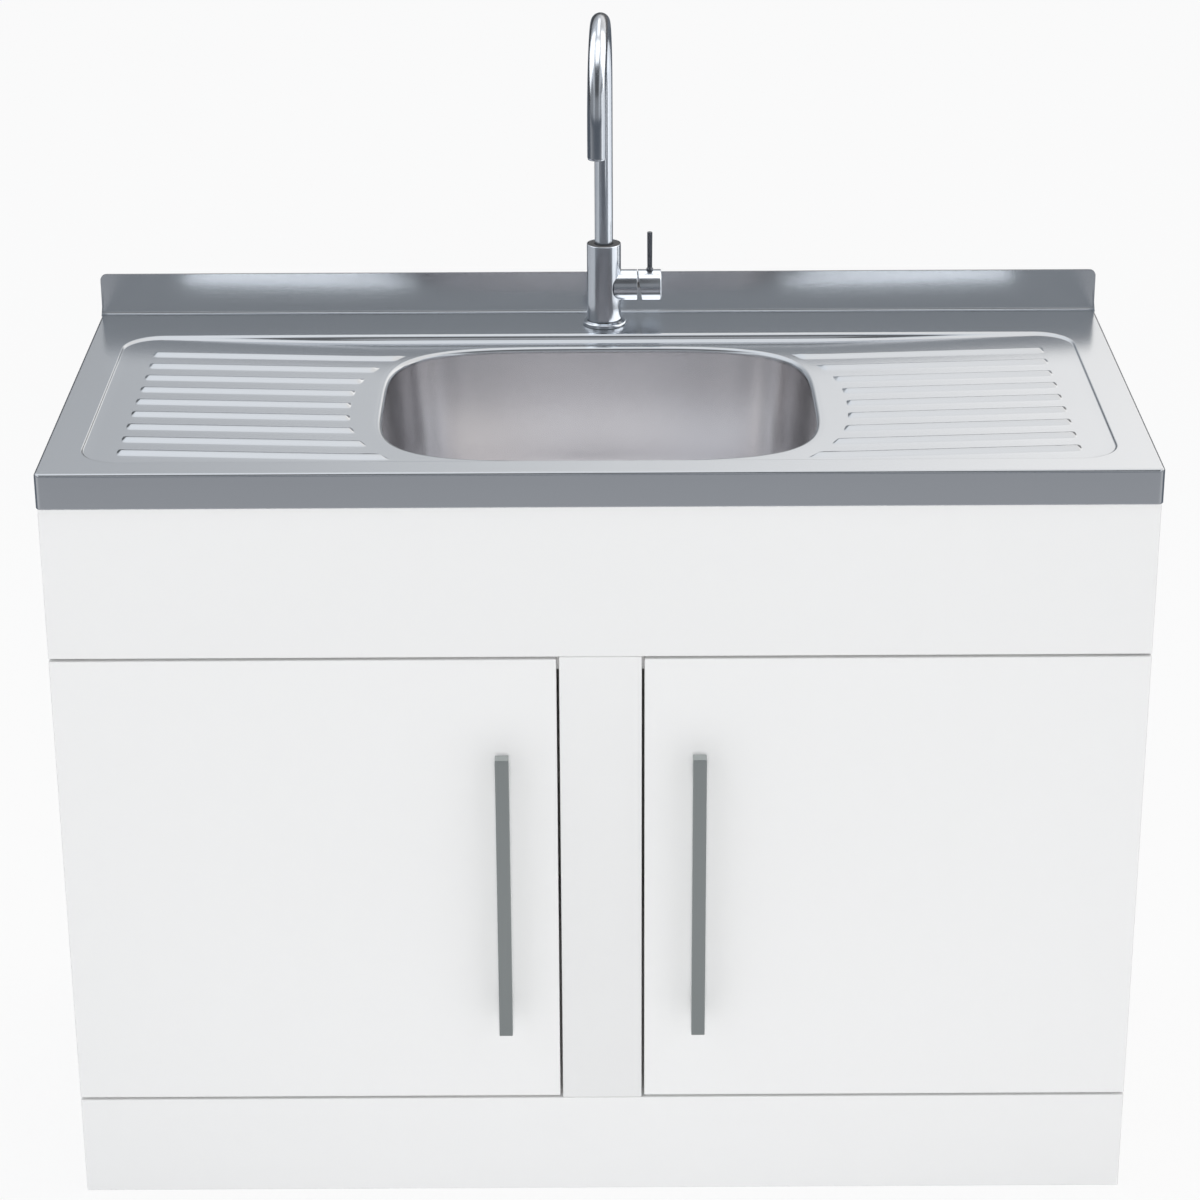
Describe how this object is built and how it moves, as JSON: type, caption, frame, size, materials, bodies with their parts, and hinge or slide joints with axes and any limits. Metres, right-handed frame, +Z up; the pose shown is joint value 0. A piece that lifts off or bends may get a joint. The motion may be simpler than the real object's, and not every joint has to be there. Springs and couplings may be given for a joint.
{
  "type": "laundry sink cabinet",
  "caption": "White laundry sink cabinet with doors, a stainless steel top with a centre bowl between ribbed drainers, and a chrome gooseneck mixer tap with a side lever.",
  "frame": {"origin": "on the floor, below the middle of the overall width and depth", "axes": "+Z up, +X to the right seen from the front, +Y to the wall behind"},
  "size_m": [1.2, 0.586, 1.2843],
  "materials": {
    "white_board": "white melamine, satin",
    "hardboard": "pale hardboard, matt",
    "stainless": "satin",
    "bar_steel": "satin grey",
    "chrome": "polished",
    "zinc_steel": "zinc plated",
    "brass": "plain",
    "white_plastic": "matt",
    "dark_plastic": "matt",
    "rubber": "matt"
  },
  "bodies": {
    "cabinet": {"sink_top": "stainless", "bowl": "stainless", "strainer_body": "stainless", "side_panel_left": "white_board", "side_panel_right": "white_board", "bottom_panel": "white_board", "front_rail": "white_board", "rear_rail": "white_board", "fascia_panel": "white_board", "centre_stile": "white_board", "plinth_panel": "white_board", "back_panel": "hardboard", "magnetic_catch_left": "white_plastic", "hinge_leaf_left_upper": "zinc_steel", "hinge_pin_left_upper": "zinc_steel", "hinge_leaf_left_lower": "zinc_steel", "hinge_pin_left_lower": "zinc_steel", "magnetic_catch_right": "white_plastic", "hinge_leaf_right_upper": "zinc_steel", "hinge_pin_right_upper": "zinc_steel", "hinge_leaf_right_lower": "zinc_steel", "hinge_pin_right_lower": "zinc_steel", "strainer_gasket": "rubber", "tap_gasket": "rubber", "strainer_nut": "white_plastic", "tailpiece": "white_plastic", "trap_nut": "white_plastic", "trap_head": "white_plastic", "trap_cup": "white_plastic", "outlet_nut": "white_plastic", "waste_pipe": "white_plastic", "cartridge": "white_plastic", "tap_flange": "chrome", "tap_body": "chrome", "tap_shank": "brass", "tap_locknut": "brass", "tap_inlet_hot": "brass", "tap_inlet_cold": "brass", "cartridge_nut": "brass", "tap_clamp_plate": "zinc_steel", "spout_bush": "dark_plastic"},
    "left_door": {"door_left": "white_board", "handle_bar_left": "bar_steel", "handle_post_left_upper": "bar_steel", "handle_post_left_lower": "bar_steel", "strike_plate_left": "zinc_steel"},
    "right_door": {"door_right": "white_board", "handle_bar_right": "bar_steel", "handle_post_right_upper": "bar_steel", "handle_post_right_lower": "bar_steel", "strike_plate_right": "zinc_steel"},
    "spout": {"spout": "chrome", "aerator": "chrome"},
    "mixer_rotor": {"cartridge_rotor": "dark_plastic"},
    "lever": {"handle_cap": "chrome", "lever_pin": "chrome", "spindle": "zinc_steel"},
    "basket": {"strainer_basket": "stainless"}
  },
  "joints": [
    {"name": "left_door_swing", "type": "hinge", "parent": "cabinet", "child": "left_door", "pos_m": [-0.5945, -0.246, 0.1245], "axis": [0, 0, -1], "range_deg": [0, 110]},
    {"name": "right_door_swing", "type": "hinge", "parent": "cabinet", "child": "right_door", "pos_m": [0.5945, -0.246, 0.1245], "axis": [0, 0, 1], "range_deg": [0, 110]},
    {"name": "spout_swivel", "type": "hinge", "parent": "cabinet", "child": "spout", "pos_m": [0.007, 0.245, 0.989], "axis": [0, 0, 1], "range_deg": [-90, 90]},
    {"name": "lever_turn", "type": "hinge", "parent": "cabinet", "child": "mixer_rotor", "pos_m": [0.007, 0.245, 0.937], "axis": [1, 0, 0], "range_deg": [-45, 45]},
    {"name": "lever_tilt", "type": "hinge", "parent": "mixer_rotor", "child": "lever", "pos_m": [0.053, 0.245, 0.937], "axis": [0, 1, 0], "range_deg": [0, 18]},
    {"name": "basket_lift", "type": "slide", "parent": "cabinet", "child": "basket", "axis": [0, 0, 1], "range_m": [0, 0.12]}
  ]
}
